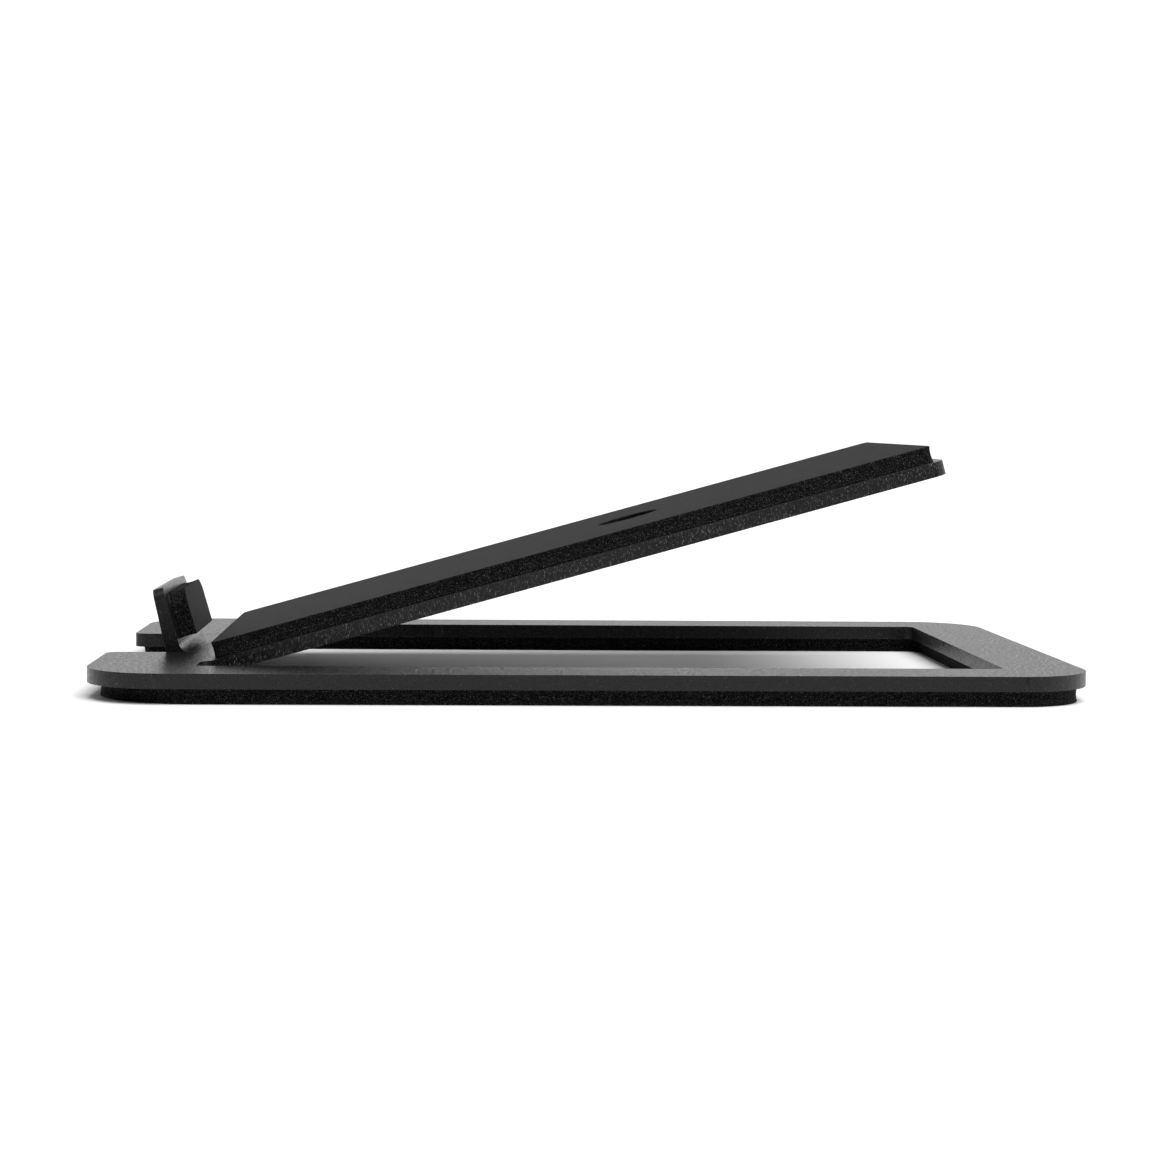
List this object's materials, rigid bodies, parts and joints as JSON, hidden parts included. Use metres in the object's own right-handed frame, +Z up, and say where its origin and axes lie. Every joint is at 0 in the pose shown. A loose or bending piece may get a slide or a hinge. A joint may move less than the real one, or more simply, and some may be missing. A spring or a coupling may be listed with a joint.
{
  "type": "laptop stand",
  "caption": "Low desk stand folded from one thick black sheet: flat open frame, sloping deck with a foam pad and a padded stop at the front.",
  "frame": {"origin": "middle of the footprint, on the surface that the stand rests on", "axes": "+X along the length, from the low front with the stop to the raised rear of the deck; +Y across the stand; +Z up"},
  "size_m": [0.2658, 0.168, 0.0678],
  "materials": {
    "coated_steel": "fine textured black powder coat, satin",
    "foam": "closed-cell black foam, matt skin with cut edges",
    "adhesive": "thin black bonding film"
  },
  "bodies": {
    "root": {"folded_plate": "coated_steel", "deck_pad": "foam", "stop_pad": "foam", "base_pad": "foam", "deck_adhesive": "adhesive", "stop_adhesive": "adhesive", "base_adhesive": "adhesive"}
  },
  "joints": []
}
